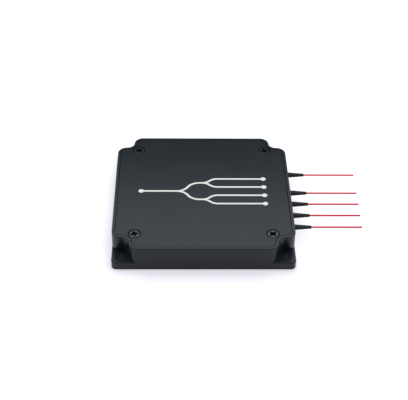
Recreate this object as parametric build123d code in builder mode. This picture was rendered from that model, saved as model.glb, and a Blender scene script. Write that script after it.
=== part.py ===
from build123d import *
from math import atan2, degrees, radians, sin, tan
import os

# One-to-four planar optical splitter in a flat metal box, in millimetres.
# Z is up, the pigtails leave towards +X, and the origin is the middle of the underside.

os.makedirs("parts", exist_ok=True)

# Box: a square tray with notched corners, and a thin foot in each notch
case_width = 100.0
case_depth = 100.0
case_height = 15.0
wall = 3.0
floor_thickness = 2.0
rim = 1.65
notch_size = 9.5
corner_radius = 5.2
notch_radius = 4.2
least_radius = 0.5
least_flat = 0.1
rim_chamfer = 0.3
base_chamfer = 0.3
foot_thickness = 5.0
foot_corner_radius = 2.8
foot_chamfer = 0.4
foot_hole_diameter = 4.3

# Lid, let into the rim, and its four low-head screws, sunk in counterbores
lid_thickness = 2.0
lid_gap = 0.35
lid_recess = 0.06
screw_setback = 3.0
screw_diameter = 3.5
screw_length = 7.0
screw_head_diameter = 6.4
screw_head_height = 1.2
screw_hole_diameter = 3.9
counterbore_diameter = 7.2
counterbore_depth = 1.3
recess_span = 4.2
recess_width = 1.05
recess_depth = 1.25
recess_taper = 19.0
thread_clearance = 0.05
thread_depth = 8.5
boss_diameter = 8.0
screw_turns = (45.0, 12.0, 18.0, 45.0)

# Exits in the +X wall: one input apart, and four outputs at one pitch
output_count = 4
exit_height = 7.4
exit_span = 47.0
output_pitch = 10.0

# Rubber boots that carry the pigtails through the wall
boot_length = 10.3
boot_root_diameter = 3.3
boot_tip_diameter = 1.75
boot_neck_diameter = 2.3
boot_neck_clearance = 0.05
boot_bore_clearance = 0.04

# Pigtails: 0.9 mm loose tubes, each over one coated fibre
tube_diameter = 0.9
tube_bore = 0.5
tube_tail = 3.0
pigtail_reaches = (40.1, 39.7, 39.5, 39.1, 38.7)
coating_diameter = 0.24
glass_diameter = 0.125

# Comb that the tubes are bonded into behind the wall, and its beads of adhesive
comb_length = 4.0
comb_margin = 3.0
comb_standoff = 2.0
comb_clearance = 0.04
comb_edge_chamfer = 0.3
bead_width = 3.2
bead_height = 0.9
bead_margin = 1.6

# Splitter package: a square steel tube, sealed at both ends
package_length = 40.0
package_size = 4.0
package_wall = 0.3
package_corner = 0.25
seal_depth = 2.0
seal_proud = 0.8
seal_chamfer = 0.3
seal_clearance = 0.02

# Chip between two fibre arrays, with end faces polished at a slant
chip_length = 14.0
chip_width = 2.4
chip_thickness = 1.0
cover_thickness = 0.9
polish_angle = 8.0
array_length = 6.0
groove_length = 3.6
groove_angle = 60.0
groove_pitch = 0.25
groove_clearance = 0.002
glass_gap = 0.01
ledge_clearance = 0.01
chip_bond_length = 10.0
chip_bond_width = 1.6

# Land on the floor and the pad that carry the package
land_length = 34.0
land_width = 8.0
pad_length = 30.0
pad_width = 3.6
pad_thickness = 0.4

# Fibre routes and the clips that hold the input fibre
loop_lead = 0.6
bend_lead = 0.6
clip_size = 4.0
clip_base_thickness = 1.0
clip_post_size = 2.2
clip_rise = 0.8
clip_clearance = 0.08
clip_wall_gap = 0.6
clip_run_shares = (0.35, 0.8)

# One overrun for all cuts
overrun = 1.0

# The boots' cones are drawn with many flat sides, and the thin tubes and fibres with fewer
boot_sides = 24
tube_sides = 12
fibre_sides = 6

# Places that follow from the sizes
wall_face = case_width / 2
lid_top = case_height - lid_recess
lid_seat = lid_top - lid_thickness
screw_inset = notch_size + screw_setback
screw_pitch_x = case_width - 2 * screw_inset
screw_pitch_y = case_depth - 2 * screw_inset
foot_hole_pitch_x = case_width - notch_size
foot_hole_pitch_y = case_depth - notch_size
input_y = exit_span / 2
output_places = [(output_count - 1 - i) * output_pitch - exit_span / 2 for i in range(output_count)]
exit_places = [input_y] + output_places
exit_names = ["input"] + [f"output_{i + 1}" for i in range(output_count)]
tube_end_x = wall_face - wall - comb_standoff - comb_length - tube_tail
package_y = (output_places[0] + output_places[-1]) / 2
loop_radius = (input_y - package_y) / 2
loop_start_x = wall - wall_face + clip_wall_gap + clip_size / 2 + loop_radius
package_start_x = loop_start_x + loop_lead + seal_proud
package_x = package_start_x + package_length / 2
package_end_x = package_start_x + package_length
seal_size = package_size - 2 * package_wall
chip_start_x = package_x - chip_length / 2
chip_end_x = package_x + chip_length / 2
slant = tan(radians(polish_angle))
glass_radius = glass_diameter / 2
groove_radius = glass_radius + groove_clearance
groove_depth = groove_radius / sin(radians(groove_angle / 2))
groove_half_width = groove_depth * tan(radians(groove_angle / 2))
ledge_drop = coating_diameter / 2 + ledge_clearance
ribbon_shifts = [(output_count - 1) * groove_pitch / 2 - i * groove_pitch for i in range(output_count)]
land_height = exit_height - package_size / 2 - pad_thickness - floor_thickness
bend_start_x = package_end_x + seal_proud + bend_lead
bend_end_x = tube_end_x - bend_lead


def notched_outline(height, inset):
    """The case's outline with its four notched corners, moved inwards by inset."""
    width = case_width - 2 * inset
    depth = case_depth - 2 * inset
    outer_radius = max(corner_radius - inset, least_radius)
    inner_radius = min(notch_radius + inset, notch_size - outer_radius - least_flat)
    with BuildSketch(Plane.XY.offset(height)) as outline:
        Rectangle(width, depth)
        with GridLocations(width, depth, 2, 2):
            Rectangle(2 * notch_size, 2 * notch_size, mode=Mode.SUBTRACT)
        reach_x = (width - notch_size) / 2
        reach_y = (depth - notch_size) / 2
        inner = outline.vertices().filter_by(
            lambda corner: abs(corner.X) < reach_x and abs(corner.Y) < reach_y
        )
        fillet(inner, inner_radius)
        outer = outline.vertices().group_by(lambda corner: abs(corner.X) + abs(corner.Y))[-1]
        fillet(outer, outer_radius)
    return outline.sketch


def package_plane():
    """A plane along the package's axis: X as in the part, Y upwards from the fibre line."""
    return Plane(origin=(0, package_y, exit_height), x_dir=(1, 0, 0), z_dir=(0, -1, 0))


def cross_plane(place_x):
    """A plane across the package's axis: X along the part's Y, Y upwards from the fibre line."""
    return Plane(origin=(place_x, package_y, exit_height), x_dir=(0, 1, 0), z_dir=(1, 0, 0))


def slanted_side(start, end, bottom, top, start_slant, end_slant):
    """Side view of a glass block, whose ends lean by their slants about the fibre line."""
    with BuildSketch(package_plane()) as side:
        with BuildLine():
            Polyline(
                (start + bottom * start_slant, bottom),
                (end + bottom * end_slant, bottom),
                (end + top * end_slant, top),
                (start + top * start_slant, top),
                close=True,
            )
        make_face()
    return side.sketch


# Housing: plate with the four feet, then the notched body on it
with BuildPart() as housing:
    with BuildSketch():
        RectangleRounded(case_width, case_depth, foot_corner_radius)
    extrude(amount=foot_thickness)
    chamfer(housing.edges().group_by(Axis.Z)[0], base_chamfer)
    chamfer(housing.edges().group_by(Axis.Z)[-1], foot_chamfer)
    extrude(notched_outline(foot_thickness / 2, 0), amount=case_height - foot_thickness / 2)
    chamfer(housing.edges().group_by(Axis.Z)[-1], rim_chamfer)
    # Lid pocket with its ledge, then the cavity down to the floor
    extrude(notched_outline(lid_seat, rim), amount=case_height - lid_seat + overrun, mode=Mode.SUBTRACT)
    extrude(
        notched_outline(floor_thickness, wall),
        amount=lid_seat - floor_thickness + min(overrun, lid_thickness),
        mode=Mode.SUBTRACT,
    )
    # Corner bosses for the lid's screws
    with BuildSketch(Plane.XY.offset(floor_thickness)):
        with GridLocations(screw_pitch_x, screw_pitch_y, 2, 2):
            Circle(boss_diameter / 2)
    extrude(amount=lid_seat - floor_thickness)
    with Locations((0, 0, lid_seat)):
        with GridLocations(screw_pitch_x, screw_pitch_y, 2, 2):
            Hole(screw_diameter / 2 + thread_clearance, depth=thread_depth)
    # Land under the splitter package
    with BuildSketch(Plane.XY.offset(floor_thickness)):
        with Locations((package_x, package_y)):
            Rectangle(land_length, land_width)
    extrude(amount=land_height)
    # Bores for the boots, and the holes in the feet
    with BuildSketch(Plane.YZ.offset(wall_face - wall - overrun)):
        with Locations(*[(place, exit_height) for place in exit_places]):
            Circle(boot_neck_diameter / 2 + boot_neck_clearance)
    extrude(amount=wall + 2 * overrun, mode=Mode.SUBTRACT)
    with Locations((0, 0, foot_thickness)):
        with GridLocations(foot_hole_pitch_x, foot_hole_pitch_y, 2, 2):
            Hole(foot_hole_diameter / 2)
housing.part.label = "housing"
export_step(housing.part, "parts/housing.step")

# Lid: a plate of the pocket's outline, with its counterbored holes
with BuildPart() as lid:
    extrude(notched_outline(lid_seat, rim + lid_gap), amount=lid_thickness)
    with Locations((0, 0, lid_top)):
        with GridLocations(screw_pitch_x, screw_pitch_y, 2, 2):
            CounterBoreHole(screw_hole_diameter / 2, counterbore_diameter / 2, counterbore_depth)
lid.part.label = "lid"
export_step(lid.part, "parts/lid.step")

# Lid screw: low cylindrical head with a cross recess, its top a little below the lid's face
with BuildPart() as screw:
    with BuildSketch():
        Circle(screw_head_diameter / 2)
    extrude(amount=screw_head_height)
    with BuildSketch():
        Circle(screw_diameter / 2)
    extrude(amount=-screw_length)
    with BuildSketch(Plane.XY.offset(screw_head_height)):
        Rectangle(recess_span, recess_width)
        Rectangle(recess_width, recess_span)
    extrude(amount=-recess_depth, taper=recess_taper, mode=Mode.SUBTRACT)

screw_corners = [(-1, 1), (1, 1), (-1, -1), (1, -1)]
with BuildPart() as lid_screws:
    for (side_x, side_y), turn in zip(screw_corners, screw_turns):
        place = (side_x * screw_pitch_x / 2, side_y * screw_pitch_y / 2, lid_top - counterbore_depth)
        with Locations(Location(place, (0, 0, turn))):
            add(screw.part)
lid_screws.part.label = "lid_screws"
export_step(lid_screws.part, "parts/lid_screws.step")

# Boots and pigtail tubes, one of each at every exit
boot_bore_radius = tube_diameter / 2 + boot_bore_clearance
for name, place, reach in zip(exit_names, exit_places, pigtail_reaches):
    with BuildPart() as boot:
        for offset, diameter in ((0, boot_root_diameter), (boot_length, boot_tip_diameter)):
            with BuildSketch(Plane.YZ.offset(wall_face + offset)):
                with Locations((place, exit_height)):
                    RegularPolygon(diameter / 2, boot_sides)
        loft(ruled=True)
        with BuildSketch(Plane.YZ.offset(wall_face - wall)):
            with Locations((place, exit_height)):
                Circle(boot_neck_diameter / 2)
        extrude(amount=wall)
        with BuildSketch(Plane.YZ.offset(wall_face - wall - overrun)):
            with Locations((place, exit_height)):
                RegularPolygon(boot_bore_radius, tube_sides)
        extrude(amount=wall + boot_length + 2 * overrun, mode=Mode.SUBTRACT)
    boot.part.label = f"boot_{name}"
    export_step(boot.part, f"parts/boot_{name}.step")

    with BuildPart() as pigtail:
        with BuildSketch(Plane.YZ.offset(tube_end_x)):
            with Locations((place, exit_height)):
                RegularPolygon(tube_diameter / 2, tube_sides)
                RegularPolygon(tube_bore / 2, tube_sides, mode=Mode.SUBTRACT)
        extrude(amount=wall_face + reach - tube_end_x)
    pigtail.part.label = f"pigtail_{name}"
    export_step(pigtail.part, f"parts/pigtail_{name}.step")

# Input fibre: straight in from its exit, one half turn, and into the package
strip_start_x = chip_start_x - groove_length
strip_end_x = chip_end_x + groove_length
with BuildPart() as fibre_input:
    with BuildLine(Plane.XY.offset(exit_height)) as input_route:
        Line((wall_face + pigtail_reaches[0], input_y), (loop_start_x, input_y))
        ThreePointArc(
            (loop_start_x, input_y),
            (loop_start_x - loop_radius, input_y - loop_radius),
            (loop_start_x, package_y),
        )
        Line((loop_start_x, package_y), (strip_start_x, package_y))
    with BuildSketch(Plane(origin=input_route.line @ 0, z_dir=input_route.line % 0)):
        RegularPolygon(coating_diameter / 2, fibre_sides)
    sweep()
    with BuildSketch(cross_plane(strip_start_x)):
        RegularPolygon(glass_radius, fibre_sides)
    extrude(amount=groove_length - glass_gap)
fibre_input.part.label = "fibre_input"
export_step(fibre_input.part, "parts/fibre_input.step")

# Output fibres: side by side from the array, then each in a gentle double bend to its own exit
bend_run = bend_end_x - bend_start_x
for name, place, reach, shift in zip(exit_names[1:], output_places, pigtail_reaches[1:], ribbon_shifts):
    start_y = package_y + shift
    bend_angle = 2 * atan2(place - start_y, bend_run)
    bend_radius = bend_run / 2 / abs(sin(bend_angle))
    turn = degrees(bend_angle)
    with BuildPart() as fibre:
        with BuildLine(Plane.XY.offset(exit_height)) as route:
            lead = Line((strip_end_x, start_y), (bend_start_x, start_y))
            first = JernArc(lead @ 1, lead % 1, bend_radius, turn)
            second = JernArc(first @ 1, first % 1, bend_radius, -turn)
            Line(second @ 1, (wall_face + reach, place))
        with BuildSketch(Plane(origin=route.line @ 0, z_dir=route.line % 0)):
            RegularPolygon(coating_diameter / 2, fibre_sides)
        sweep()
        with BuildSketch(cross_plane(strip_end_x)):
            with Locations((shift, 0)):
                RegularPolygon(glass_radius, fibre_sides)
        extrude(amount=glass_gap - groove_length)
    fibre.part.label = f"fibre_{name}"
    export_step(fibre.part, f"parts/fibre_{name}.step")
    print(f"fibre_{name}: bend radius {bend_radius:.2f} mm")
print(f"fibre_input: loop radius {loop_radius:.2f} mm")

# Comb behind the wall: a bar with one open groove for each tube
comb_start = tube_end_x + tube_tail
comb_width = exit_span + 2 * comb_margin
comb_top = exit_height + tube_diameter / 2
with BuildPart() as anchor_comb:
    with BuildSketch(Plane.YZ.offset(comb_start)):
        with BuildLine():
            Polyline(
                (-comb_width / 2, floor_thickness),
                (comb_width / 2, floor_thickness),
                (comb_width / 2, comb_top - comb_edge_chamfer),
                (comb_width / 2 - comb_edge_chamfer, comb_top),
                (comb_edge_chamfer - comb_width / 2, comb_top),
                (-comb_width / 2, comb_top - comb_edge_chamfer),
                close=True,
            )
        make_face()
        with Locations(*[(place, exit_height - tube_diameter / 2) for place in exit_places]):
            Rectangle(
                tube_diameter + 2 * comb_clearance,
                tube_diameter + overrun,
                align=(Align.CENTER, Align.MIN),
                mode=Mode.SUBTRACT,
            )
    extrude(amount=comb_length)
anchor_comb.part.label = "anchor_comb"
export_step(anchor_comb.part, "parts/anchor_comb.step")

# Adhesive beads on the comb: a dab over the input's tube, and one bead over the outputs' tubes
bead_spans = ((input_y, input_y), (output_places[-1], output_places[0]))
with BuildPart() as anchor_adhesive:
    for low_y, high_y in bead_spans:
        with BuildSketch(Plane.XZ.offset(-high_y - bead_margin)):
            with BuildLine(Location((comb_start + comb_length / 2, comb_top))):
                ThreePointArc((-bead_width / 2, 0), (0, bead_height), (bead_width / 2, 0))
                Line((bead_width / 2, 0), (-bead_width / 2, 0))
            make_face()
        extrude(amount=high_y - low_y + 2 * bead_margin)
anchor_adhesive.part.label = "anchor_adhesive"
export_step(anchor_adhesive.part, "parts/anchor_adhesive.step")

# Steel tube of the package, and the pad that it lies on
with BuildPart() as package_tube:
    with BuildSketch(cross_plane(package_start_x)) as package_tube_section:
        Rectangle(package_size, package_size)
        chamfer(package_tube_section.vertices(), package_corner)
        Rectangle(seal_size, seal_size, mode=Mode.SUBTRACT)
    extrude(amount=package_length)
package_tube.part.label = "package_tube"
export_step(package_tube.part, "parts/package_tube.step")

with BuildPart() as package_pad:
    with BuildSketch(Plane.XY.offset(floor_thickness + land_height)):
        with Locations((package_x, package_y)):
            Rectangle(pad_length, pad_width)
    extrude(amount=pad_thickness)
package_pad.part.label = "package_pad"
export_step(package_pad.part, "parts/package_pad.step")

# Seals in the tube's two ends, each with a slot for its fibres
slot_height = coating_diameter + 2 * seal_clearance
seal_ends = (
    ("input", package_start_x, -1, coating_diameter + 2 * seal_clearance),
    ("output", package_end_x, 1, slot_height + (output_count - 1) * groove_pitch),
)
for name, end_x, side, slot_width in seal_ends:
    with BuildPart() as seal:
        with BuildSketch(cross_plane(end_x - side * seal_depth)):
            Rectangle(seal_size, seal_size)
        extrude(amount=side * (seal_depth + seal_proud))
        outer_edges = seal.edges().group_by(Axis.X)[-1 if side > 0 else 0]
        chamfer(outer_edges, min(seal_chamfer, seal_proud / 2))
        with BuildSketch(cross_plane(end_x - side * (seal_depth + overrun))):
            Rectangle(slot_width, slot_height)
        extrude(amount=side * (seal_depth + seal_proud + 2 * overrun), mode=Mode.SUBTRACT)
    seal.part.label = f"package_seal_{name}"
    export_step(seal.part, f"parts/package_seal_{name}.step")

# Chip with its cover: both are cut at the polish angle at both ends
with BuildPart() as plc_chip:
    extrude(
        slanted_side(chip_start_x, chip_end_x, -chip_thickness, glass_radius, slant, slant),
        amount=chip_width / 2,
        both=True,
    )
plc_chip.part.label = "plc_chip"
export_step(plc_chip.part, "parts/plc_chip.step")

with BuildPart() as chip_cover:
    extrude(
        slanted_side(chip_start_x, chip_end_x, glass_radius, glass_radius + cover_thickness, slant, slant),
        amount=chip_width / 2,
        both=True,
    )
chip_cover.part.label = "chip_cover"
export_step(chip_cover.part, "parts/chip_cover.step")

# Fibre arrays: a grooved base that meets the chip, and a cover that presses on the bare glass
array_ends = (("input", chip_start_x, -1, [0]), ("output", chip_end_x, 1, ribbon_shifts))
for name, face_x, side, shifts in array_ends:
    far_x = face_x + side * array_length
    step_x = face_x + side * groove_length
    spans = sorted([(face_x, slant), (far_x, 0)])
    cover_spans = sorted([(face_x, slant), (step_x, 0)])
    with BuildPart() as array_base:
        extrude(
            slanted_side(spans[0][0], spans[1][0], -chip_thickness, 0, spans[0][1], spans[1][1]),
            amount=chip_width / 2,
            both=True,
        )
        with BuildSketch(cross_plane(face_x - side * overrun)):
            with Locations(*[(shift, 0) for shift in shifts]):
                Polygon(
                    (-groove_half_width, 0),
                    (0, -groove_depth),
                    (groove_half_width, 0),
                    align=None,
                )
        extrude(amount=side * (groove_length + 2 * overrun), mode=Mode.SUBTRACT)
        with BuildSketch(cross_plane(step_x)):
            Rectangle(chip_width, ledge_drop, align=(Align.CENTER, Align.MAX))
        extrude(amount=side * array_length, mode=Mode.SUBTRACT)
    array_base.part.label = f"{name}_array_base"
    export_step(array_base.part, f"parts/{name}_array_base.step")

    with BuildPart() as array_cover:
        extrude(
            slanted_side(
                cover_spans[0][0],
                cover_spans[1][0],
                glass_radius,
                glass_radius + cover_thickness,
                cover_spans[0][1],
                cover_spans[1][1],
            ),
            amount=chip_width / 2,
            both=True,
        )
    array_cover.part.label = f"{name}_array_cover"
    export_step(array_cover.part, f"parts/{name}_array_cover.step")

# Soft bond between the chip and the tube's inner face
bond_thickness = package_size / 2 - package_wall - chip_thickness
with BuildPart() as chip_bond:
    with BuildSketch(Plane.XY.offset(exit_height - chip_thickness - bond_thickness)):
        with Locations((package_x, package_y)):
            Rectangle(chip_bond_length, chip_bond_width)
    extrude(amount=bond_thickness)
chip_bond.part.label = "chip_bond"
export_step(chip_bond.part, "parts/chip_bond.step")

# Fibre clips: two on the straight run of the input fibre, and one at the far side of its loop
clip_top = exit_height + clip_rise
clip_slot = coating_diameter + 2 * clip_clearance
with BuildPart() as clip:
    with BuildSketch(Plane.XY.offset(floor_thickness)):
        Rectangle(clip_size, clip_size)
    extrude(amount=clip_base_thickness)
    with BuildSketch(Plane.XY.offset(floor_thickness + clip_base_thickness)):
        Rectangle(clip_post_size, clip_post_size)
    extrude(amount=clip_top - floor_thickness - clip_base_thickness)
    with BuildSketch(Plane.YZ.offset(-clip_size)):
        with Locations((0, exit_height - clip_slot / 2)):
            Rectangle(clip_slot, clip_slot + clip_rise + overrun, align=(Align.CENTER, Align.MIN))
    extrude(amount=2 * clip_size, mode=Mode.SUBTRACT)

run_length = tube_end_x - loop_start_x
clip_stands = [((loop_start_x + share * run_length, input_y), 0) for share in clip_run_shares]
clip_stands.append(((loop_start_x - loop_radius, input_y - loop_radius), 90))
with BuildPart() as fibre_clips:
    for (place_x, place_y), turn in clip_stands:
        with Locations(Location((place_x, place_y, 0), (0, 0, turn))):
            add(clip.part)
fibre_clips.part.label = "fibre_clips"
export_step(fibre_clips.part, "parts/fibre_clips.step")
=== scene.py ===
"""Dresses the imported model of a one-to-four fibre splitter box for its picture.

Lengths are in metres, and a length in millimetres is written as so many times MM, apart from
values whose names end in _mm. Z is up, and the pigtails leave towards +X.
"""
import logging
import math
from dataclasses import dataclass, field
from enum import Enum

import bpy
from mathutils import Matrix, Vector


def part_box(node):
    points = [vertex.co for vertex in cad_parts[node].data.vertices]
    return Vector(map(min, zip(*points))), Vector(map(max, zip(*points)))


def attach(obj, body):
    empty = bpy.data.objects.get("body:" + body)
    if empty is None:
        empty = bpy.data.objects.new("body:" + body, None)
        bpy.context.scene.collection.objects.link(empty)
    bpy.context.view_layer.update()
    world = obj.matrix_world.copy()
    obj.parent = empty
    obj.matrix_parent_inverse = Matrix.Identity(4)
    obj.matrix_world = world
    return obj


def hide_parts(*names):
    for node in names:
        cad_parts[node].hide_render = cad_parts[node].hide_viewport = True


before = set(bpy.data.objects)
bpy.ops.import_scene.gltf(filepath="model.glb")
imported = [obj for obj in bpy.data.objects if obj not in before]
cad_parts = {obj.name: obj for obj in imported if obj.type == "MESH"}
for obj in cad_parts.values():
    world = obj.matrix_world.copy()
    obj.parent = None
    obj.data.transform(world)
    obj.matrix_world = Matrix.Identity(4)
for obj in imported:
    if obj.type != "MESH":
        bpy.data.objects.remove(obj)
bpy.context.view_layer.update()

LOG = logging.getLogger("splitter")

Tree = bpy.types.NodeTree
Node = bpy.types.Node
Socket = bpy.types.NodeSocket
Piece = bpy.types.Object
Material = bpy.types.Material
Triple = tuple[float, float, float]
Colour = tuple[float, float, float, float]
# Places along an axis, each with its radius
Profile = list[tuple[float, float]]

MM = 0.001
# Nothing moves, so every piece rides on the one body
BODY = "root"
# The exits in the +X wall, from the back to the front
PORTS = ("input", "output_1", "output_2", "output_3", "output_4")
# The box's corners by the signs of X and Y: the back ones first, from the left
CORNERS = ((-1, 1), (1, 1), (-1, -1), (1, -1))

# The curve of sRGB: straight up to a knee, and a power above it
SRGB_KNEE = 0.04045
SRGB_SLOPE = 12.92
SRGB_SHIFT = 0.055
SRGB_POWER = 2.4
# The most that two hex digits hold
HEX_MOST = 255
WHITE = (1.0, 1.0, 1.0, 1.0)
# A pattern that is drawn out along no axis
EVEN = (1.0, 1.0, 1.0)
NOISE_DETAIL = 3.0
# A shader's own specular level
FULL_SHEEN = 0.5
# The height over which a finish with painted shade under a level changes from one colour to the
# other
LEVEL_FADE_MM = 0.03

# Points nearer than this are one point, and edges that turn less than this lie in a flat face
MERGE = 0.0005 * MM
FLAT_DEG = 0.4
# The weight that lets the largest faces alone set the normals at their edges
FACE_WEIGHT = 100
QUARTER_STEPS = 4
QUARTER_DEG = 90.0
# Directions in a turned profile, from its axis' own: away from the axis, and back along it
OUTWARD_DEG = 90.0
BACKWARD_DEG = 180.0


def linear(hex_colour: str) -> Colour:
    """Turn an sRGB hex colour into the linear colour that a shader takes.

    Args:
        hex_colour: Six hex digits, such as "1B1D20".

    Returns:
        Red, green, blue and an alpha of one.
    """
    parts = [int(hex_colour[i : i + 2], 16) / HEX_MOST for i in (0, 2, 4)]
    red, green, blue = (
        part / SRGB_SLOPE
        if part <= SRGB_KNEE
        else ((part + SRGB_SHIFT) / (1 + SRGB_SHIFT)) ** SRGB_POWER
        for part in parts
    )
    return (red, green, blue, 1.0)


def add_node(
    tree: Tree,
    kind: str,
    inputs: dict[str | int, object] | None = None,
    **settings: object,
) -> Node:
    """Add one node with its settings, values and links.

    Args:
        tree: The tree that gets the node.
        kind: The node's type name.
        inputs: A value, or an output socket to link, for each input by name or number.
        **settings: Properties of the node itself.

    Returns:
        The new node.
    """
    node = tree.nodes.new(kind)
    for name, value in settings.items():
        setattr(node, name, value)
    for name, value in (inputs or {}).items():
        if isinstance(value, Socket):
            tree.links.new(value, node.inputs[name])
        else:
            node.inputs[name].default_value = value
    return node


@dataclass(frozen=True)
class Finish:
    """A surface finish: one material, named for what the real surface is."""

    name: str
    slot: str
    colour: str
    roughness: float
    metallic: float = 0.0
    ior: float = 1.5
    # Painted shade: another colour and sheen under a height, where they are given
    shade_top_mm: float = 0.0
    shade_colour: str = ""
    shade_sheen: float = FULL_SHEEN
    # A fine bump, and wider patches in which the roughness drifts
    grain_mm: float = 0.3
    grain_share: float = 0.15
    grain_depth_mm: float = 0.01
    patch_mm: float = 0.0
    patch_change: float = 0.0

    def build(self) -> Material:
        """Make the material.

        Returns:
            The finished material.
        """
        material = bpy.data.materials.new(self.name)
        material.use_nodes = True
        tree = material.node_tree
        shader = tree.nodes["Principled BSDF"]
        shader.inputs["Base Color"].default_value = linear(self.colour)
        shader.inputs["Roughness"].default_value = self.roughness
        shader.inputs["Metallic"].default_value = self.metallic
        shader.inputs["IOR"].default_value = self.ior
        if self.shade_colour:
            self.paint_shade_under_level(tree, shader)
        self.texture(tree, shader)
        return material

    def paint_shade_under_level(self, tree: Tree, shader: Node) -> None:
        """Paint shade on the surface: another colour and sheen under one height, as in a gap or a
        recess.

        Args:
            tree: The material's tree.
            shader: The material's main shader.
        """
        place = add_node(tree, "ShaderNodeTexCoord")
        axes = add_node(tree, "ShaderNodeSeparateXYZ", {0: place.outputs["Object"]})
        above = add_node(
            tree,
            "ShaderNodeMapRange",
            {
                "Value": axes.outputs["Z"],
                "From Min": (self.shade_top_mm - LEVEL_FADE_MM) * MM,
                "From Max": self.shade_top_mm * MM,
            },
        )
        mix = add_node(
            tree,
            "ShaderNodeMix",
            {"Factor": above.outputs["Result"], "A": linear(self.shade_colour), "B": linear(self.colour)},
            data_type="RGBA",
        )
        tree.links.new(mix.outputs["Result"], shader.inputs["Base Color"])
        sheen = add_node(
            tree,
            "ShaderNodeMapRange",
            {"Value": above.outputs["Result"], "To Min": self.shade_sheen, "To Max": FULL_SHEEN},
        )
        tree.links.new(sheen.outputs["Result"], shader.inputs["Specular IOR Level"])

    def texture(self, tree: Tree, shader: Node) -> None:
        """Add the finish's own grain and variation to its shader.

        Args:
            tree: The material's tree.
            shader: The material's main shader.
        """
        self.grain(tree, shader)
        if self.patch_mm:
            patches = add_node(
                tree,
                "ShaderNodeMapRange",
                {
                    "Value": self.noise(tree, self.patch_mm),
                    "To Min": self.roughness - self.patch_change,
                    "To Max": self.roughness + self.patch_change,
                },
            )
            tree.links.new(patches.outputs["Result"], shader.inputs["Roughness"])

    def noise(self, tree: Tree, size_mm: float, stretch: Triple = EVEN) -> Socket:
        """Add a noise of one size, fixed to the piece.

        Args:
            tree: The material's tree.
            size_mm: The size of its patches.
            stretch: Less than one along an axis that it is drawn out along.

        Returns:
            The socket with the noise.
        """
        place = add_node(tree, "ShaderNodeTexCoord")
        drawn = add_node(
            tree, "ShaderNodeMapping", {"Vector": place.outputs["Object"], "Scale": stretch}
        )
        noise = add_node(
            tree,
            "ShaderNodeTexNoise",
            {
                "Vector": drawn.outputs["Vector"],
                "Scale": 1 / (size_mm * MM),
                "Detail": NOISE_DETAIL,
            },
        )
        return noise.outputs["Fac"]

    def grain(self, tree: Tree, shader: Node, stretch: Triple = EVEN) -> None:
        """Roughen the surface with a fine bump.

        Args:
            tree: The material's tree.
            shader: The shader that takes the bump.
            stretch: Less than one along an axis that the grain is drawn out along.
        """
        bump = add_node(
            tree,
            "ShaderNodeBump",
            {
                "Height": self.noise(tree, self.grain_mm, stretch),
                "Strength": self.grain_share,
                "Distance": self.grain_depth_mm * MM,
            },
        )
        tree.links.new(bump.outputs["Normal"], shader.inputs["Normal"])


@dataclass(frozen=True)
class TonedFinish(Finish):
    """A finish whose colour drifts to another tone in patches."""

    # The size of the patches, and how much of the red, green and blue the other tone has
    tone_mm: float = 1.0
    tone: Triple = EVEN

    def texture(self, tree: Tree, shader: Node) -> None:
        """Add the grain and the drift of the colour.

        Args:
            tree: The material's tree.
            shader: The material's main shader.
        """
        self.grain(tree, shader)
        base = linear(self.colour)
        other = (*(part * times for part, times in zip(base, self.tone)), 1.0)
        mix = add_node(
            tree,
            "ShaderNodeMix",
            {"Factor": self.noise(tree, self.tone_mm), "A": base, "B": other},
            data_type="RGBA",
        )
        tree.links.new(mix.outputs["Result"], shader.inputs["Base Color"])


@dataclass(frozen=True)
class ClearFinish(Finish):
    """A finish that lets some light through."""

    clear: float = 1.0

    def texture(self, tree: Tree, shader: Node) -> None:
        """Let light through, and add the finish's own grain and variation."""
        shader.inputs["Transmission Weight"].default_value = self.clear
        super().texture(tree, shader)


@dataclass(frozen=True)
class BlackAnodisedAluminium(Finish):
    """Bead-blasted and black anodised aluminium: a dry, even black with a broad soft sheen."""

    # The blasted pits are a few hundredths across, and are drawn coarser so that they show
    grain_mm: float = 0.3
    grain_share: float = 0.18
    grain_depth_mm: float = 0.02
    patch_mm: float = 14.0
    patch_change: float = 0.04


@dataclass(frozen=True)
class BlackOxideSteel(Finish):
    """Black oxide on a steel screw: dark and a little oily, with a brighter top than the box."""

    # The oxide's own grain is far finer, and is drawn coarser so that it shows
    grain_mm: float = 0.25
    grain_share: float = 0.12
    patch_mm: float = 1.5
    patch_change: float = 0.06


@dataclass(frozen=True)
class MouldedRubber(Finish):
    """Moulded black rubber: nearly matt, with a fine grain."""

    # The mould's eroded face leaves a grain of about this width
    grain_mm: float = 0.2
    grain_share: float = 0.2
    patch_mm: float = 2.0
    patch_change: float = 0.05


@dataclass(frozen=True)
class ExtrudedTube(TonedFinish):
    """Extruded red polyester tube: an even red with a soft gloss along it."""

    # The die leaves the tube's wall uneven over about two thirds of its width
    grain_mm: float = 0.6
    grain_share: float = 0.1
    tone_mm: float = 3.0
    tone: Triple = (1.08, 1.5, 1.3)


@dataclass(frozen=True)
class PrintedInk(TonedFinish):
    """Screen-printed white ink: flat, slightly grey, with a fine mottle where it went on thin."""

    grain_share: float = 0.1
    grain_depth_mm: float = 0.005
    # The squeegee leaves its cover uneven over about two thirds of a stroke's width
    tone_mm: float = 0.8
    tone: Triple = (0.86, 0.86, 0.86)


@dataclass(frozen=True)
class DrawnSteel(Finish):
    """Drawn stainless tube: bright metal with fine lines along its length."""

    # The die's lines are drawn coarser than they are, so that they show
    grain_mm: float = 0.15
    grain_share: float = 0.2
    drawn_out: Triple = (0.02, 1.0, 1.0)

    def texture(self, tree: Tree, shader: Node) -> None:
        """Add the drawing lines, stretched along X."""
        self.grain(tree, shader, self.drawn_out)


@dataclass(frozen=True)
class PolishedSilica(ClearFinish):
    """Polished fused silica: clear glass, a little dusty where it was sawn."""

    grain_share: float = 0.02
    # The saw's dust is far finer, and lies in drifts of about this width
    patch_mm: float = 0.5
    patch_change: float = 0.05
    clear: float = 0.9


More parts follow.
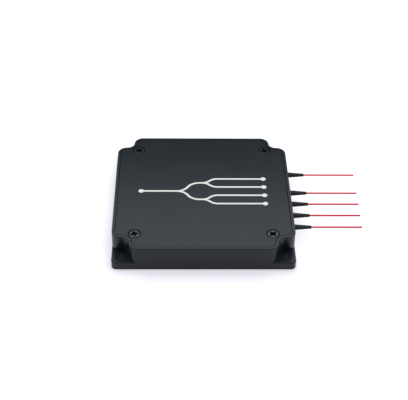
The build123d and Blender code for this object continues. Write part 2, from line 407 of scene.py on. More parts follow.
@dataclass(frozen=True)
class CuredSilicone(ClearFinish):
    """Cured clear silicone: cloudy and wet-looking, with a lumpy skin."""

    # It is laid on by hand, and its lumps are as wide as a tube that it holds
    grain_mm: float = 0.8
    grain_share: float = 0.3
    grain_depth_mm: float = 0.05
    clear: float = 0.4


@dataclass(frozen=True)
class MouldedPolymer(Finish):
    """Moulded off-white polymer: satin, with the mould's fine grain."""


@dataclass(frozen=True)
class FoamTape(Finish):
    """Closed-cell foam tape: pale, dull and full of small cells."""

    # The width of its cells
    grain_mm: float = 0.25
    grain_share: float = 0.5
    grain_depth_mm: float = 0.05


# Painted shade: under the rim's top face the box's walls, also those in the gap round the lid, are
# painted a darker colour than that face
CASE_BLACK = BlackAnodisedAluminium(
    "black_anodised_aluminium",
    "black_anodised",
    "1A232C",
    0.25,
    ior=1.42,
    shade_top_mm=14.95,
    shade_colour="141B23",
)
# Painted shade: the lid's edge and the walls of its screw holes are painted nearly black with
# almost no sheen, as no light is caught in them
LID_BLACK = BlackAnodisedAluminium(
    "black_anodised_lid",
    "black_anodised",
    "101A21",
    0.25,
    ior=1.42,
    shade_top_mm=14.9,
    shade_colour="030506",
    shade_sheen=0.05,
)
# Painted shade: the screw's recess and the side of its head are painted darker than its top, with
# little sheen
SCREW_BLACK = BlackOxideSteel(
    "black_oxide_steel",
    "black_steel",
    "10181D",
    0.24,
    ior=1.64,
    shade_top_mm=14.83,
    shade_colour="0A0E10",
    shade_sheen=0.1,
)
# Painted light: the walls of the narrow holes in the feet are painted a lighter grey than the box
PAINTED_HOLE_LIGHT = BlackAnodisedAluminium(
    "painted_light_in_foot_holes", "black_anodised", "4A4850", 0.35, ior=1.42
)
BOOT_RUBBER = MouldedRubber("moulded_black_rubber", "boot_rubber", "181A1A", 0.5, ior=1.4)
# The low IOR keeps the white floor's reflection from washing out the thin red line
TUBE_RED = ExtrudedTube("extruded_red_polyester", "red_tube", "E00228", 0.7, ior=1.15)
MARK_WHITE = PrintedInk("printed_white_ink", "black_anodised", "EAF0E8", 0.6)
FIBRE_CLEAR = MouldedPolymer("acrylate_fibre_coating", "coated_fibre", "E6E2D2", 0.3)
PACKAGE_STEEL = DrawnSteel("drawn_stainless_steel", "stainless_tube", "C4C4C0", 0.3, metallic=1.0)
CHIP_SILICA = PolishedSilica("polished_fused_silica", "silica", "E4EEF0", 0.08, ior=1.46)
SEAL_SILICONE = CuredSilicone("cured_clear_silicone", "clear_silicone", "DADAD4", 0.3, ior=1.41)
PAD_FOAM = FoamTape("closed_cell_foam_tape", "foam_pad", "D2D2CC", 0.9)
COMB_POLYMER = MouldedPolymer("moulded_white_polymer", "comb_plastic", "DCDCD6", 0.45)


class Along(Enum):
    """The direction that a turned piece's axis runs in."""

    X = "x"
    Z = "z"


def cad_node(name: str) -> Piece:
    """The CAD node of that name."""
    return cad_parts[name]


def clear_selection() -> None:
    """Leave edit mode and deselect everything."""
    if bpy.context.object and bpy.context.object.mode == "EDIT":
        bpy.ops.object.mode_set(mode="OBJECT")
    bpy.ops.object.select_all(action="DESELECT")


def hold(piece: Piece) -> None:
    """Make one piece the active one, and the only one that is selected.

    Args:
        piece: The piece.
    """
    clear_selection()
    piece.select_set(True)
    bpy.context.view_layer.objects.active = piece


def apply_place() -> None:
    """Put the active piece's place, turn and scale into its mesh."""
    bpy.ops.object.transform_apply(location=True, rotation=True, scale=True)


def open_mesh(piece: Piece) -> None:
    """Put a piece in edit mode with its whole mesh selected.

    Args:
        piece: The piece.
    """
    hold(piece)
    bpy.ops.object.mode_set(mode="EDIT")
    bpy.ops.mesh.select_all(action="SELECT")


def extrude(step: Vector) -> None:
    """Extrude what is selected in edit mode by a step."""
    bpy.ops.mesh.extrude_region_move(TRANSFORM_OT_translate={"value": step})


def face_outwards() -> None:
    """Turn all faces of the mesh in edit mode outwards, and leave edit mode."""
    bpy.ops.mesh.select_all(action="SELECT")
    bpy.ops.mesh.normals_make_consistent(inside=False)
    bpy.ops.object.mode_set(mode="OBJECT")


def finish_piece(piece: Piece, name: str, material: Material, smooth_deg: float) -> None:
    """Give a modelled piece its name, place, normals, shading and material.

    Args:
        piece: The piece.
        name: Its name.
        material: Its material.
        smooth_deg: Edges that turn less than this are shaded smooth, and none at zero.
    """
    piece.name = name
    piece.data.name = name
    hold(piece)
    apply_place()
    open_mesh(piece)
    bpy.ops.mesh.remove_doubles(threshold=MERGE)
    face_outwards()
    if smooth_deg > 0:
        bpy.ops.object.shade_smooth_by_angle(angle=math.radians(smooth_deg))
    else:
        bpy.ops.object.shade_flat()
    piece.data.materials.clear()
    piece.data.materials.append(material)
    piece.select_set(False)


def own_copy(model: Piece, place: Vector, turn_deg: float = 0.0) -> Piece:
    """Copy a model with a mesh of its own, turned about Z and moved to its place.

    Args:
        model: The piece to copy, which stands at the origin.
        place: Where its origin goes.
        turn_deg: How far it is turned.

    Returns:
        The copy, which is active.
    """
    copy = bpy.data.objects.new(model.name, model.data.copy())
    bpy.context.scene.collection.objects.link(copy)
    copy.location = place
    copy.rotation_euler = (0, 0, math.radians(turn_deg))
    hold(copy)
    return copy


def apply_modifier(piece: Piece, kind: str, **settings: object) -> None:
    """Add one modifier to a piece and apply it.

    Args:
        piece: The piece.
        kind: The modifier's type name.
        **settings: The modifier's properties.
    """
    hold(piece)
    modifier = piece.modifiers.new(kind.lower(), kind)
    for name, value in settings.items():
        setattr(modifier, name, value)
    bpy.ops.object.modifier_apply(modifier=modifier.name)


def clean_flats(piece: Piece) -> None:
    """Merge doubled points, and make straight edges and flat faces whole again.

    Args:
        piece: The piece, as a boolean or the CAD's triangles left it.
    """
    open_mesh(piece)
    bpy.ops.mesh.remove_doubles(threshold=MERGE)
    bpy.ops.mesh.dissolve_limited(angle_limit=math.radians(FLAT_DEG))
    bpy.ops.object.mode_set(mode="OBJECT")


def round_edges(piece: Piece, width: float, steps: int, from_deg: float) -> None:
    """Round the sharp edges of a piece.

    Args:
        piece: The piece.
        width: How wide the rounding is.
        steps: How many faces it has.
        from_deg: Edges that turn more than this are rounded.
    """
    apply_modifier(
        piece,
        "BEVEL",
        width=width,
        segments=steps,
        limit_method="ANGLE",
        angle_limit=math.radians(from_deg),
    )


def even_normals(piece: Piece) -> None:
    """Let large faces lead the shading, so that they stay flat beside their rounded edges."""
    apply_modifier(piece, "WEIGHTED_NORMAL", mode="FACE_AREA", weight=FACE_WEIGHT, keep_sharp=True)


@dataclass
class TurnedPiece:
    """A piece turned about an axis: a ring that is extruded and scaled from station to station."""

    centre: Vector
    along: Along
    stations: Profile
    sides: int = 48

    def build(self) -> Piece:
        """Extrude the ring through its stations.

        Returns:
            The object, active and out of edit mode.
        """
        start, radius = self.stations[0]
        lying = self.along is Along.X
        unit = Vector((1, 0, 0)) if lying else Vector((0, 0, 1))
        turn = (0, math.radians(QUARTER_DEG), 0) if lying else (0, 0, 0)
        clear_selection()
        bpy.ops.mesh.primitive_circle_add(
            vertices=self.sides,
            radius=radius,
            fill_type="NOTHING",
            location=self.centre + unit * start,
            rotation=turn,
        )
        piece = bpy.context.object
        open_mesh(piece)
        place = start
        for station, new_radius in self.stations[1:]:
            extrude(unit * (station - place))
            ratio = new_radius / radius
            scale = (1, ratio, ratio) if lying else (ratio, ratio, 1)
            bpy.ops.transform.resize(value=scale, center_override=self.centre + unit * station)
            place = station
            radius = new_radius
        bpy.ops.object.mode_set(mode="OBJECT")
        apply_place()
        return piece


def quarter(place: float, radius: float, size: float, start_deg: float) -> Profile:
    """Round an edge of a turned profile by a quarter circle.

    Args:
        place: The circle's middle along the axis.
        radius: The circle's middle away from the axis.
        size: The circle's radius.
        start_deg: Where the quarter starts, from the axis' own direction.

    Returns:
        Places along the axis with their radii, going down in angle.
    """
    rows = []
    for step in range(QUARTER_STEPS + 1):
        angle = math.radians(start_deg - QUARTER_DEG * step / QUARTER_STEPS)
        rows.append((place + size * math.cos(angle), radius + size * math.sin(angle)))
    return rows


@dataclass
class Boots:
    """The rubber boots: a neck through the wall, and a long cone with rounded ends on it."""

    # Radii of the bore, the neck and the cone's two ends, and of the rounding at each end
    bore: float = 0.49 * MM
    neck: float = 1.15 * MM
    root: float = 1.65 * MM
    tip: float = 0.875 * MM
    collar: float = 0.2 * MM
    lip: float = 0.12 * MM
    # The wall that the neck goes through, and the cone's length outside it
    wall: float = 3.0 * MM
    length: float = 10.3 * MM
    smooth_deg: float = 40.0

    def stations(self) -> Profile:
        """Work out the profile, from the neck's inner end round to the bore.

        Returns:
            Places along the axis from the wall's face, each with its radius.
        """
        rows = [(-self.wall, self.bore), (-self.wall, self.neck), (0.0, self.neck)]
        rows += quarter(self.collar, self.root - self.collar, self.collar, BACKWARD_DEG)
        rows += quarter(self.length - self.lip, self.tip - self.lip, self.lip, OUTWARD_DEG)
        rows += [(self.length, self.bore), (-self.wall, self.bore)]
        return rows

    def build(self, material: Material, wall_face: float) -> dict[str, Piece]:
        """Turn one boot, and put a copy at each port.

        Args:
            material: The rubber.
            wall_face: The X of the wall's outer face.

        Returns:
            The boot of each port.
        """
        model = TurnedPiece(Vector(), Along.X, self.stations()).build()
        made = {}
        for port in PORTS:
            low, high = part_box(f"boot_{port}")
            middle = (low + high) / 2
            piece = own_copy(model, Vector((wall_face, middle.y, middle.z)))
            finish_piece(piece, f"strain_boot_{port}", material, self.smooth_deg)
            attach(piece, BODY)
            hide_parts(f"boot_{port}")
            made[port] = piece
            LOG.info("boot at %s", port)
        bpy.data.objects.remove(model)
        return made


@dataclass
class Pigtails:
    """The red tubes: one smooth line each, from the comb inside the box to the cut end."""

    radius: float = 0.45 * MM
    wall: float = 0.2 * MM
    # The tube's wall grows inwards from its outer face
    wall_side: float = -1.0
    points: int = 5
    order: int = 3
    roundness: int = 6

    def route(self, low: Vector, high: Vector) -> list[Vector]:
        """Set out a tube's straight line along the middle of its node.

        Args:
            low: The lowest corner of the node's box.
            high: The highest corner of the node's box.

        Returns:
            The line's points, from inside the box to the cut end.
        """
        middle = (low + high) / 2
        step = (high.x - low.x) / (self.points - 1)
        return [Vector((low.x + step * i, middle.y, middle.z)) for i in range(self.points)]

    def build(self, material: Material, wall_face: float, boots: dict[str, Piece]) -> None:
        """Run a tube along each port's straight route.

        Args:
            material: The tube's material.
            wall_face: The X of the wall's outer face, where the tubes leave the box. Not used.
            boots: The boot of each port. Not used.
        """
        for port in PORTS:
            low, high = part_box(f"pigtail_{port}")
            route = self.route(low, high)
            curve = bpy.data.curves.new(f"tube_{port}", "CURVE")
            curve.dimensions = "3D"
            spline = curve.splines.new("NURBS")
            spline.points.add(len(route) - 1)
            for point, place in zip(spline.points, route):
                point.co = (*place, 1.0)
            spline.order_u = self.order
            spline.use_endpoint_u = True
            curve.bevel_depth = self.radius
            curve.bevel_resolution = self.roundness
            curve.use_fill_caps = False
            tube = bpy.data.objects.new(f"tube_{port}", curve)
            bpy.context.scene.collection.objects.link(tube)
            curve.materials.append(material)
            shell = tube.modifiers.new("wall", "SOLIDIFY")
            shell.thickness = self.wall
            shell.offset = self.wall_side
            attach(tube, BODY)
            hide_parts(f"pigtail_{port}")


@dataclass
class LidScrews:
    """Low-head screws with a cross recess: one is modelled, and copied to each corner."""

    # Radii of the head and the shank, and the length under the head with its chamfered end
    head: float = 3.2 * MM
    head_height: float = 1.2 * MM
    shank: float = 1.75 * MM
    length: float = 7.0 * MM
    point: float = 0.3 * MM
    # The rounding of the head's rim, and of its other edges
    head_round: float = 0.4 * MM
    edge: float = 0.07 * MM
    edge_from_deg: float = 40.0
    edge_steps: int = 2
    # The recess at the head's top: two crossed arms, and a square core turned between them
    recess_span: float = 4.6 * MM
    recess_width: float = 1.25 * MM
    recess_depth: float = 1.25 * MM
    recess_taper_deg: float = 19.0
    recess_round: float = 0.2 * MM
    round_steps: int = 3
    core_span: float = 2.7 * MM
    core_turn_deg: float = 45.0
    # How far the recess' blocks stand out of the head before they are cut from it
    recess_rise: float = 0.2 * MM
    # How far each corner's screw is turned, in the order of the corners
    turns_deg: tuple[float, ...] = (45.0, 12.0, 18.0, 45.0)
    smooth_deg: float = 35.0
    sides: int = 64

    def cutter(self, span: float, width: float, turn_deg: float) -> Piece:
        """Model a block of the recess, which narrows downwards through the head's top.

        Args:
            span: Its length at the head's top.
            width: Its width there.
            turn_deg: Its direction.

        Returns:
            The block, to be cut out.
        """
        slope = 2 * math.tan(math.radians(self.recess_taper_deg))
        top_span = span + self.recess_rise * slope
        top_width = width + self.recess_rise * slope
        drop = self.recess_rise + self.recess_depth
        narrowed = (1 - drop * slope / top_span, 1 - drop * slope / top_width, 1)
        clear_selection()
        bpy.ops.mesh.primitive_plane_add(size=1, location=(0, 0, self.recess_rise))
        block = bpy.context.object
        block.scale = (top_span, top_width, 1)
        apply_place()
        open_mesh(block)
        bpy.ops.mesh.bevel(offset=self.recess_round, segments=self.round_steps, affect="VERTICES")
        bpy.ops.mesh.select_all(action="SELECT")
        extrude(Vector((0, 0, -drop)))
        bpy.ops.transform.resize(value=narrowed, center_override=(0, 0, -drop))
        face_outwards()
        block.rotation_euler = (0, 0, math.radians(turn_deg))
        apply_place()
        return block

    def model(self) -> Piece:
        """Turn one screw at the origin, cut its recess and round its edges.

        Returns:
            The screw, with the middle of its head's top at the origin.
        """
        middle = self.head - self.head_round
        stations = quarter(-self.head_round, middle, self.head_round, OUTWARD_DEG)[::-1]
        end = -self.head_height - self.length
        stations += [
            (-self.head_height, self.head),
            (-self.head_height, self.shank),
            (end + self.point, self.shank),
            (end, self.shank - self.point),
        ]
        piece = TurnedPiece(Vector(), Along.Z, stations, self.sides).build()
        open_mesh(piece)
        bpy.ops.mesh.fill_holes(sides=self.sides)
        face_outwards()
        blocks = (
            (self.recess_span, self.recess_width, 0.0),
            (self.recess_span, self.recess_width, QUARTER_DEG),
            (self.core_span, self.core_span, self.core_turn_deg),
        )
        for span, width, turn_deg in blocks:
            cutter = self.cutter(span, width, turn_deg)
            apply_modifier(piece, "BOOLEAN", operation="DIFFERENCE", solver="EXACT", object=cutter)
            bpy.data.objects.remove(cutter)
        clean_flats(piece)
        round_edges(piece, self.edge, self.edge_steps, self.edge_from_deg)
        return piece

    def build(self, material: Material) -> None:
        """Put a screw in each corner of the lid, turned as the photograph shows it.

        Args:
            material: The screws' steel.
        """
        low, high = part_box("lid_screws")
        reach_x = (high.x - low.x) / 2 - self.head
        reach_y = (high.y - low.y) / 2 - self.head
        model = self.model()
        for number, (corner, turn_deg) in enumerate(zip(CORNERS, self.turns_deg), start=1):
            place = Vector((corner[0] * reach_x, corner[1] * reach_y, high.z))
            piece = own_copy(model, place, turn_deg)
            finish_piece(piece, f"lid_screw_{number}", material, self.smooth_deg)
            even_normals(piece)
            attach(piece, BODY)
            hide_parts("lid_screws")
            LOG.info("lid screw %d", number)
        bpy.data.objects.remove(model)


@dataclass
class InkLine:
    """A printed line, drawn like a pen stroke by extruding and spinning its end edge."""

    start: Vector
    width: float
    thickness: float
    arc_steps: int = 14
    # Points of the line nearer than this are one point
    merge: float = 0.001 * MM
    # The stroke, and where its pen stands: the place and the direction, in radians from +X
    piece: Piece = field(init=False)
    place: Vector = field(init=False)
    heading: float = field(init=False, default=0.0)

    def __post_init__(self) -> None:
        """Add the first short stretch of the line, and select its far edge in edit mode."""
        step = self.width / 2
        middle = self.start + Vector((step / 2, 0, 0))
        clear_selection()
        bpy.ops.mesh.primitive_plane_add(size=1, location=middle)
        self.piece = bpy.context.object
        self.piece.scale = (step, self.width, 1)
        apply_place()
        self.place = self.start + Vector((step, 0, 0))
        mesh = self.piece.data
        for vertex in mesh.vertices:
            vertex.select = vertex.co.x > middle.x
        for edge in mesh.edges:
            edge.select = all(mesh.vertices[i].select for i in edge.vertices)
        for face in mesh.polygons:
            face.select = False
        bpy.ops.object.mode_set(mode="EDIT")

    def ahead(self) -> Vector:
        """The direction that the pen draws in."""
        return Vector((math.cos(self.heading), math.sin(self.heading), 0))

    def leftwards(self) -> Vector:
        """The direction to the left of the pen."""
        return Vector((-math.sin(self.heading), math.cos(self.heading), 0))

    def straight(self, length: float) -> None:
        """Draw straight on.

        Args:
            length: How far.
        """
        step = self.ahead() * length
        extrude(step)
        self.place = self.place + step

    def bend(self, turn: float, radius: float) -> None:
        """Draw an arc.

        Args:
            turn: How far it turns, in radians, to the left if positive.
            radius: The arc's radius.
        """
        side = 1 if turn > 0 else -1
        centre = self.place + self.leftwards() * side * radius
        bpy.ops.mesh.spin(steps=self.arc_steps, angle=-turn, center=centre, axis=(0, 0, 1))
        self.heading += turn
        self.place = centre - self.leftwards() * side * radius

    def double_bend(self, run: float, rise: float) -> None:
        """Draw two arcs that end parallel to their start, moved aside.

        Args:
            run: The distance along the start's direction.
            rise: The distance to the left, or to the right if negative.
        """
        turn = 2 * math.atan2(rise, run)
        radius = run / 2 / abs(math.sin(turn))
        self.bend(turn, radius)
        self.bend(-turn, radius)

    def finish(self) -> Piece:
        """Raise the stroke by the ink's thickness.

        Returns:
            The closed stroke, out of edit mode.
        """
        bpy.ops.mesh.select_all(action="SELECT")
        bpy.ops.mesh.remove_doubles(threshold=self.merge)
        bpy.ops.mesh.select_all(action="SELECT")
        extrude(Vector((0, 0, self.thickness)))
        face_outwards()
        return self.piece


@dataclass
class LidMarking:
    """A plain printed diagram on the lid: one line that branches into four."""

    # How far the diagram reaches to each side of the lid's middle, and the Y of its trunk
    reach: float = 35.0 * MM
    middle_y: float = -1.0 * MM
    width: float = 1.3 * MM
    thickness: float = 0.03 * MM
    # The strokes are drawn this many times too thick, each a layer higher and deeper than the last
    drawn_times: float = 60.0
    layer: float = 0.06 * MM
    # Where the trunk forks, and the length and the sideways shift of its two branches
    fork_x: float = -15.0 * MM
    fork_run: float = 13.0 * MM
    fork_rise: float = 7.4 * MM
    # The straight run before each branch forks in turn, and the length and shift of its twigs
    twig_gap: float = 1.5 * MM
    twig_run: float = 9.0 * MM
    twig_rise: float = 3.7 * MM
    # How far a stroke starts inside the last one
    overlap: float = 0.9 * MM
    # The round ends: their radius, and how many layers higher and deeper they are
    dot: float = 1.55 * MM
    dot_sides: int = 40
    dot_layers: int = 8

    def drawn_height(self, layers: int) -> float:
        """The height of a stroke or dot of so many layers, before it is pressed flat."""
        return self.drawn_times * self.thickness + 2 * layers * self.layer

    def stroke(self, place: tuple[float, float], surface: float, number: int) -> InkLine:
        """Start a stroke whose top and bottom lie on no other stroke's.

        Args:
            place: Where it starts.
            surface: The height of the lid's face.
            number: Its number, which sets its height a little apart.

        Returns:
            The line, still in edit mode.
        """
        start = Vector((*place, surface - number * self.layer))
        return InkLine(start, self.width, self.drawn_height(number))

    def strokes(self, surface: float) -> list[Piece]:
        """Draw the trunk, the two branches and the four twigs, each a little into the last.

        Args:
            surface: The height of the lid's face.

        Returns:
            The strokes.
        """
        trunk = self.stroke((-self.reach, self.middle_y), surface, 0)
        trunk.straight(self.fork_x + self.overlap - trunk.place.x)
        made = [trunk.finish()]
        for first in (1, -1):
            branch = self.stroke((self.fork_x - self.overlap, self.middle_y), surface, len(made))
            branch.straight(self.fork_x - branch.place.x)
            branch.double_bend(self.fork_run, first * self.fork_rise)
            twig_x = branch.place.x + self.twig_gap
            twig_y = branch.place.y
            branch.straight(self.twig_gap + self.overlap)
            made.append(branch.finish())
            for second in (1, -1):
                twig = self.stroke((twig_x - self.overlap, twig_y), surface, len(made))
                twig.straight(twig_x - twig.place.x)
                twig.double_bend(self.twig_run, second * self.twig_rise)
                twig.straight(self.reach - twig.place.x)
                made.append(twig.finish())
        return made

    def dots(self, surface: float) -> list[Piece]:
        """Add a round dot at each end of the diagram.

        Args:
            surface: The height of the lid's face.

        Returns:
            The dots.
        """
        ends = [(-self.reach, self.middle_y)]
        for first in (1, -1):
            branch_y = self.middle_y + first * self.fork_rise
            ends += [(self.reach, branch_y + second * self.twig_rise) for second in (1, -1)]
        bottom = surface - self.dot_layers * self.layer
        made = []
        for place_x, place_y in ends:
            clear_selection()
            bpy.ops.mesh.primitive_circle_add(
                vertices=self.dot_sides,
                radius=self.dot,
                fill_type="NGON",
                location=(place_x, place_y, bottom),
            )
            dot = bpy.context.object
            apply_place()
            open_mesh(dot)
            extrude(Vector((0, 0, self.drawn_height(self.dot_layers))))
            face_outwards()
            made.append(dot)
        return made

    def build(self, material: Material) -> None:
        """Print the diagram on the lid as one piece.

        The strokes are drawn much too thick, so that their union is clean, and then pressed flat.

        Args:
            material: The ink.
        """
        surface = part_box("lid")[1].z
        mark, *others = self.strokes(surface) + self.dots(surface)
        for other in others:
            apply_modifier(mark, "BOOLEAN", operation="UNION", solver="EXACT", object=other)
            bpy.data.objects.remove(other)
        clean_flats(mark)
        open_mesh(mark)
        pressed = (1, 1, 1 / self.drawn_times)
        bpy.ops.transform.resize(value=pressed, center_override=(0, 0, surface))
        bpy.ops.object.mode_set(mode="OBJECT")
        finish_piece(mark, "lid_marking", material, 0.0)
        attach(mark, BODY)
        LOG.info("marking on the lid")


@dataclass
class CaseShells:
    """The housing and the lid: the model's own solids with their sharp edges broken."""

    edge: float = 0.15 * MM
    edge_from_deg: float = 25.0
    edge_steps: int = 2
    smooth_deg: float = 30.0
    # The feet's holes: their distance from the box's sides, their radius, and a margin round it
    hole_inset: float = 4.75 * MM
    hole_radius: float = 2.15 * MM
    hole_margin: float = 0.05 * MM
    # A face whose normal has less than this along Z belongs to a wall
    upright: float = 0.3

    def paint_light_in_holes(self, housing: Piece) -> None:
        """Paint the walls of the four holes in the feet a lighter grey, as painted light.

        Args:
            housing: The housing's shell.
        """
        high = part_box("housing")[1]
        grey = len(housing.data.materials)
        housing.data.materials.append(PAINTED_HOLE_LIGHT.build())
        for face in housing.data.polygons:
            away_x = abs(face.center.x) - (high.x - self.hole_inset)
            away_y = abs(face.center.y) - (high.y - self.hole_inset)
            near = math.hypot(away_x, away_y) < self.hole_radius + self.hole_margin
            if near and abs(face.normal.z) < self.upright:
                face.material_index = grey

    def shell(self, node_name: str, name: str, finish: Finish) -> Piece:
        """Copy one node, make its flat faces whole again and round its edges.

        Args:
            node_name: The node that it stands for.
            name: The piece's name.
            finish: Its finish.

        Returns:
            The shell.
        """
        piece = own_copy(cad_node(node_name), Vector())
        clean_flats(piece)
        round_edges(piece, self.edge, self.edge_steps, self.edge_from_deg)
        finish_piece(piece, name, finish.build(), self.smooth_deg)
        even_normals(piece)
        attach(piece, BODY)
        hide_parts(node_name)
        LOG.info("%s from %s", name, node_name)
        return piece

    def build(self) -> None:
        """Make both shells."""
        housing = self.shell("housing", "milled_housing", CASE_BLACK)
        self.paint_light_in_holes(housing)
        self.shell("lid", "fitted_lid", LID_BLACK)


@dataclass
class CadPieces:
    """The pieces whose shape comes straight from the model, and the finish of each."""

    def finishes(self) -> dict[Finish, tuple[str, ...]]:
        """List the nodes that each finish goes on.

        Returns:
            The names of the nodes of each finish.
        """
        return {
            FIBRE_CLEAR: tuple(f"fibre_{port}" for port in PORTS),
            PACKAGE_STEEL: ("package_tube",),
            CHIP_SILICA: (
                "plc_chip",
                "chip_cover",
                "input_array_base",
                "input_array_cover",
                "output_array_base",
                "output_array_cover",
            ),
            SEAL_SILICONE: (
                "package_seal_input",
                "package_seal_output",
                "chip_bond",
                "anchor_adhesive",
            ),
            PAD_FOAM: ("package_pad",),
            COMB_POLYMER: ("anchor_comb", "fibre_clips"),
        }

    def dress(self) -> None:
        """Put each finish on its nodes."""
        for finish, names in self.finishes().items():
            material = finish.build()
            for name in names:
                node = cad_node(name)
                node.data.materials.clear()
                node.data.materials.append(material)
                LOG.info("%s on %s", finish.name, name)


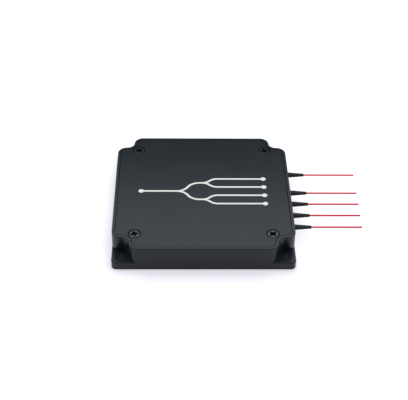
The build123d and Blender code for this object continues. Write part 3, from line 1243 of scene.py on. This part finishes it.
@dataclass
class Studio:
    """A white floor, a pale surround, one softbox and the camera of the photograph."""

    # The camera that was fitted to the box's edges, for a picture so many pixels wide
    camera_mm: Triple = (-11.93, -438.01, 370.49)
    camera_turn_deg: Triple = (50.357, -0.886, -0.933)
    focal_px: float = 989.92
    frame_px: float = 408.0
    sensor_mm: float = 36.0
    sight: tuple[float, float] = (0.01, 20.0)
    # Matt white paper
    floor_size: float = 6.0
    floor_colour: str = "E6E4EC"
    floor_roughness: float = 1.0
    floor_sheen: float = 0.0
    # The floor's glow that whitens it: everywhere, far away, and to the right of the box, where it
    # is painted light over shadow
    floor_lift: float = 0.25
    far_lift: float = 0.6
    far_from: float = 0.015
    far_to: float = 0.15
    right_lift: float = 0.08
    right_run: float = 0.01
    # The share of it that a reflection in the box shows
    glossy_share: float = 0.45
    # Painted light that whitens the shade beside the box, which grows outwards, and faster at its
    # sides
    shade_reach: float = 0.0155
    shade_least: float = 0.07
    shade_most: float = 0.33
    left_ease: float = 1.8
    right_ease: float = 8.0
    # The light from all around, and the softbox over the box
    surround: float = 0.17
    box_size: tuple[float, float] = (0.8, 0.58)
    box_place: Triple = (0.0, 0.06, 0.3)
    box_level: float = 1.4
    box_colour: Triple = (0.965, 1.0, 1.03)

    def camera(self) -> None:
        """Set the camera where the photograph's box edges put it."""
        data = bpy.data.cameras.new("camera")
        data.sensor_width = self.sensor_mm
        data.lens = self.focal_px / self.frame_px * self.sensor_mm
        data.clip_start, data.clip_end = self.sight
        eye = bpy.data.objects.new("camera", data)
        bpy.context.scene.collection.objects.link(eye)
        eye.location = Vector(self.camera_mm) * MM
        eye.rotation_euler = [math.radians(angle) for angle in self.camera_turn_deg]
        bpy.context.scene.camera = eye

    def floor(self) -> None:
        """Lay a white floor that still takes the box's soft shadow."""
        clear_selection()
        bpy.ops.mesh.primitive_plane_add(size=self.floor_size)
        plane = bpy.context.object
        plane.name = "studio_floor"
        material = bpy.data.materials.new("white_paper_floor")
        material.use_nodes = True
        tree = material.node_tree
        shader = tree.nodes["Principled BSDF"]
        shader.inputs["Base Color"].default_value = linear(self.floor_colour)
        shader.inputs["Roughness"].default_value = self.floor_roughness
        shader.inputs["Specular IOR Level"].default_value = self.floor_sheen
        path = add_node(tree, "ShaderNodeLightPath")
        seen = add_node(
            tree,
            "ShaderNodeMath",
            {
                0: path.outputs["Is Glossy Ray"],
                1: self.glossy_share,
                2: path.outputs["Is Camera Ray"],
            },
            operation="MULTIPLY_ADD",
        )
        lift = add_node(
            tree,
            "ShaderNodeMath",
            {0: seen.outputs[0], 1: self.lift_level(tree)},
            operation="MULTIPLY",
        )
        shader.inputs["Emission Color"].default_value = WHITE
        tree.links.new(lift.outputs[0], shader.inputs["Emission Strength"])
        plane.data.materials.append(material)

    def lift_level(self, tree: Tree) -> Socket:
        """Work out how much the floor is whitened: everywhere, far away and beside the box.

        At a distance d a wall of height h hides (1 - d / sqrt(d * d + h * h)) / 2 of an even sky.
        The floor gets that back away from the box, as white paper does in a retouched picture.

        Args:
            tree: The floor's tree.

        Returns:
            The socket with the whitening.
        """
        low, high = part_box("housing")
        place = add_node(tree, "ShaderNodeTexCoord")
        axes = add_node(tree, "ShaderNodeSeparateXYZ", {0: place.outputs["Object"]})
        # How far a place lies beyond the box's sides, along X and Y
        outside = place.outputs["Object"]
        folds = {"ABSOLUTE": (0, 0, 0), "SUBTRACT": (high.x, high.y, 0), "MAXIMUM": (0, 0, 0)}
        for operation, other in folds.items():
            values = {0: outside, 1: other}
            outside = add_node(tree, "ShaderNodeVectorMath", values, operation=operation).outputs[0]
        side = add_node(
            tree,
            "ShaderNodeMapRange",
            {
                "Value": axes.outputs["X"],
                "From Min": low.x,
                "From Max": high.x,
                "To Min": self.left_ease,
                "To Max": self.right_ease,
            },
        )
        ease = add_node(tree, "ShaderNodeCombineXYZ", {0: side.outputs["Result"], 1: 1.0, 2: 1.0})
        eased = add_node(
            tree, "ShaderNodeVectorMath", {0: outside, 1: ease.outputs[0]}, operation="MULTIPLY"
        )
        raised = add_node(
            tree, "ShaderNodeVectorMath", {0: outside, 1: (0, 0, high.z)}, operation="ADD"
        )
        distance, slope, eased_distance = (
            add_node(tree, "ShaderNodeVectorMath", {0: way}, operation="LENGTH").outputs["Value"]
            for way in (outside, raised.outputs[0], eased.outputs[0])
        )
        open_share = add_node(tree, "ShaderNodeMath", {0: distance, 1: slope}, operation="DIVIDE")
        hidden = add_node(
            tree, "ShaderNodeMath", {0: 1.0, 1: open_share.outputs[0]}, operation="SUBTRACT"
        )
        fade = add_node(
            tree,
            "ShaderNodeMapRange",
            {
                "Value": eased_distance,
                "From Max": self.shade_reach,
                "To Min": self.shade_least,
                "To Max": self.shade_most,
            },
            interpolation_type="SMOOTHSTEP",
        )
        near = add_node(
            tree,
            "ShaderNodeMapRange",
            {
                "Value": axes.outputs["X"],
                "From Min": high.x,
                "From Max": high.x + self.right_run,
                "To Min": self.floor_lift,
                "To Max": self.floor_lift + self.right_lift,
            },
        )
        far = add_node(
            tree,
            "ShaderNodeMapRange",
            {
                "Value": distance,
                "From Min": self.far_from,
                "From Max": self.far_to,
                "To Min": near.outputs["Result"],
                "To Max": self.floor_lift + self.far_lift,
            },
        )
        level = add_node(
            tree,
            "ShaderNodeMath",
            {0: hidden.outputs[0], 1: fade.outputs[0], 2: far.outputs[0]},
            operation="MULTIPLY_ADD",
        )
        return level.outputs[0]

    def world(self) -> None:
        """Surround the scene with plain soft light that the camera sees as white."""
        world = bpy.data.worlds.new("surround")
        bpy.context.scene.world = world
        world.use_nodes = True
        tree = world.node_tree
        back = tree.nodes["Background"]
        back.inputs["Color"].default_value = WHITE
        path = add_node(tree, "ShaderNodeLightPath")
        level = add_node(
            tree,
            "ShaderNodeMapRange",
            {"Value": path.outputs["Is Camera Ray"], "To Min": self.surround, "To Max": 1.0},
        )
        tree.links.new(level.outputs[0], back.inputs["Strength"])

    def softbox(self) -> None:
        """Hang a large softbox over the box, facing straight down."""
        data = bpy.data.lights.new("softbox", "AREA")
        data.shape = "RECTANGLE"
        data.size, data.size_y = self.box_size
        data.energy = self.box_level * math.pi * data.size * data.size_y
        data.color = self.box_colour
        lamp = bpy.data.objects.new("softbox", data)
        bpy.context.scene.collection.objects.link(lamp)
        lamp.location = self.box_place

    def build(self) -> None:
        """Set up the whole studio."""
        self.camera()
        self.floor()
        self.world()
        self.softbox()
        bpy.context.scene.view_settings.view_transform = "Standard"
        LOG.info("studio")


def main() -> None:
    """Build the studio and every sub-assembly in order."""
    Studio().build()
    CadPieces().dress()
    CaseShells().build()
    wall_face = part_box("housing")[1].x
    boots = Boots().build(BOOT_RUBBER.build(), wall_face)
    Pigtails().build(TUBE_RED.build(), wall_face, boots)
    LidScrews().build(SCREW_BLACK.build())
    LidMarking().build(MARK_WHITE.build())


if __name__ == "__main__":
    logging.basicConfig(level=logging.INFO, format="%(name)s: %(message)s")
    main()
